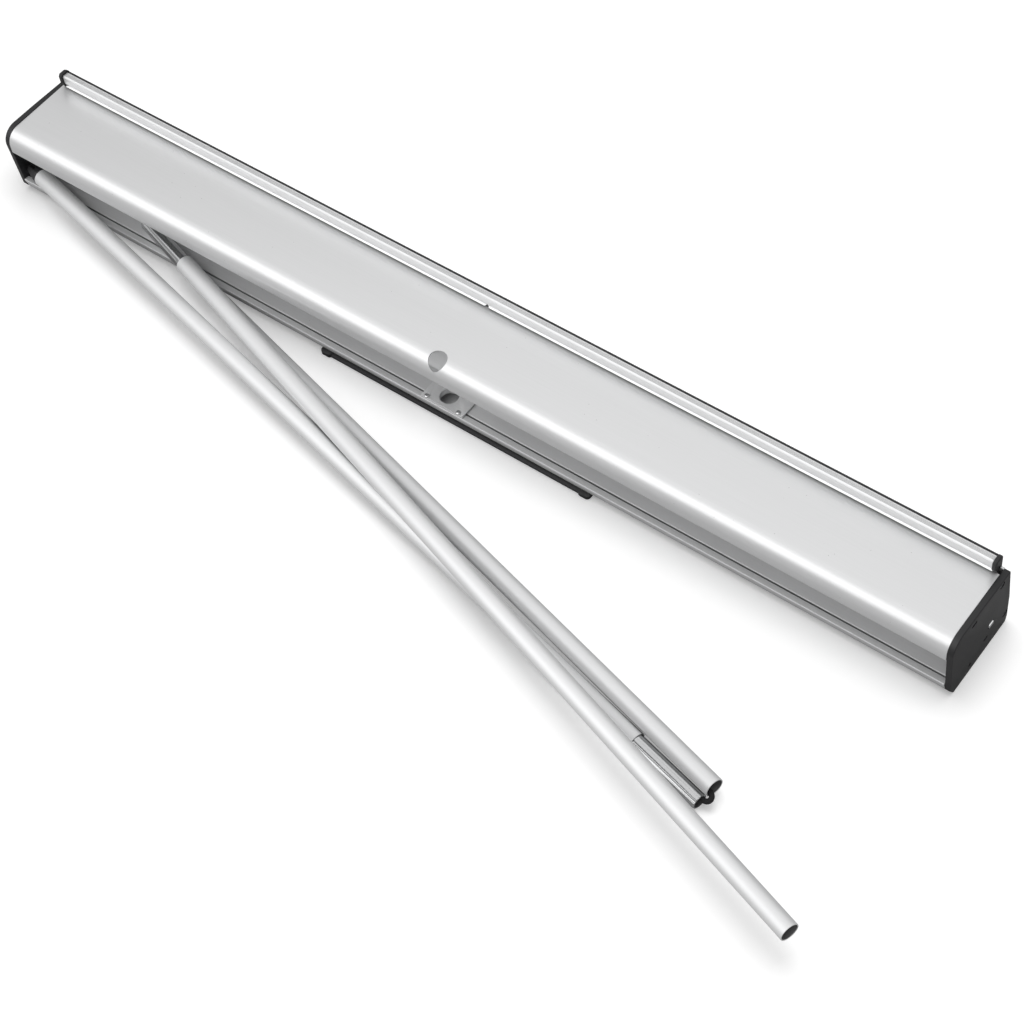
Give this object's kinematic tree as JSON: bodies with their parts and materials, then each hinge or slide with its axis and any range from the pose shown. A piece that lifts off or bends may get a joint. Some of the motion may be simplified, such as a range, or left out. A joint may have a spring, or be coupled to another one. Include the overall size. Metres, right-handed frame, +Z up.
{
  "type": "roll-up banner stand",
  "caption": "Fabric roll-up banner stand, packed down: spring-roller base with top rail closed, swivel foot under it and sectional pole laid beside it.",
  "frame": {"origin": "middle of the footprint of the stand and the pole sections beside it, on the floor", "axes": "+X along the base, towards the pole sections' lower ends; +Y towards the side where the banner comes out; +Z up"},
  "size_m": [0.8764, 0.298, 0.0792],
  "materials": {
    "deck_aluminium": "satin anodised, drawn along its length",
    "rail_aluminium": "satin anodised",
    "tube_aluminium": "satin anodised drawn tube",
    "bright_steel": "bright zinc",
    "black_plastic": "moulded, lightly textured",
    "black_steel": "black powder coat",
    "grey_plastic": "moulded",
    "banner_fabric": "blank white polyester",
    "elastic": "braided shock cord"
  },
  "bodies": {
    "base": {"cassette_shell": "deck_aluminium", "left_end_cap": "black_plastic", "right_end_cap": "black_plastic", "right_cap_screw_upper": "bright_steel", "right_cap_screw_lower": "bright_steel", "left_cap_screw_upper": "bright_steel", "left_cap_screw_lower": "bright_steel", "pole_socket_plate": "rail_aluminium", "socket_screw_left": "bright_steel", "socket_screw_right": "bright_steel", "foot_pivot_bolt": "bright_steel", "foot_pivot_washer": "bright_steel", "foot_pivot_nut": "bright_steel", "idler_axle": "bright_steel", "spring_axle": "bright_steel", "torsion_spring": "bright_steel"},
    "roller": {"roller_tube": "rail_aluminium", "banner_roll": "banner_fabric", "roller_plug_left": "grey_plastic", "roller_plug_right": "grey_plastic", "spring_drive_plug": "grey_plastic"},
    "banner_rail": {"top_rail": "rail_aluminium", "rail_clamp_strip": "black_plastic", "rail_cap_left": "black_plastic", "rail_cap_right": "black_plastic", "banner_sheet": "banner_fabric"},
    "foot": {"swivel_foot_bar": "black_steel", "foot_pad_left": "black_plastic", "foot_pad_right": "black_plastic"},
    "middle_pole": {"pole_middle_tube": "tube_aluminium", "elastic_cord": "elastic", "cord_anchor_middle": "grey_plastic"},
    "top_pole": {"pole_top_tube": "tube_aluminium", "pole_top_ferrule": "bright_steel", "pole_top_hook_cap": "black_plastic", "cord_anchor_top": "grey_plastic", "cord_in_top_pole": "elastic"},
    "bottom_pole": {"pole_bottom_tube": "tube_aluminium", "pole_bottom_ferrule": "bright_steel"}
  },
  "joints": [
    {"name": "banner_lift", "type": "slide", "parent": "base", "child": "banner_rail", "axis": [0, 0, 1], "range_m": [0, 1.93], "stiffness_N_per_m": 4, "springref_m": -2, "deforming": ["banner_sheet"]},
    {"name": "roller_spin", "type": "hinge", "parent": "base", "child": "roller", "pos_m": [-0.00772, 0.12368, 0.0265], "axis": [1, 0, 0], "range_deg": [0, 6420]},
    {"name": "foot_swivel", "type": "hinge", "parent": "base", "child": "foot", "pos_m": [0.00018, 0.08648, 0], "axis": [0, 0, 1], "range_deg": [-90, 0]},
    {"name": "pole_pair_away", "type": "slide", "parent": "base", "child": "middle_pole", "axis": [0, -1, 0], "range_m": [0, 0.25]},
    {"name": "top_pole_fold", "type": "hinge", "parent": "middle_pole", "child": "top_pole", "pos_m": [0.33087, -0.08389, 0.0076], "axis": [0, 0, 1], "range_deg": [0, 60]},
    {"name": "bottom_pole_away", "type": "slide", "parent": "base", "child": "bottom_pole", "axis": [0.9552, -0.2954, 0.0198], "range_m": [0, 0.35]}
  ],
  "couplings": [
    {"joint": "roller_spin", "follows": "banner_lift", "rad_per_m": 57.9}
  ]
}
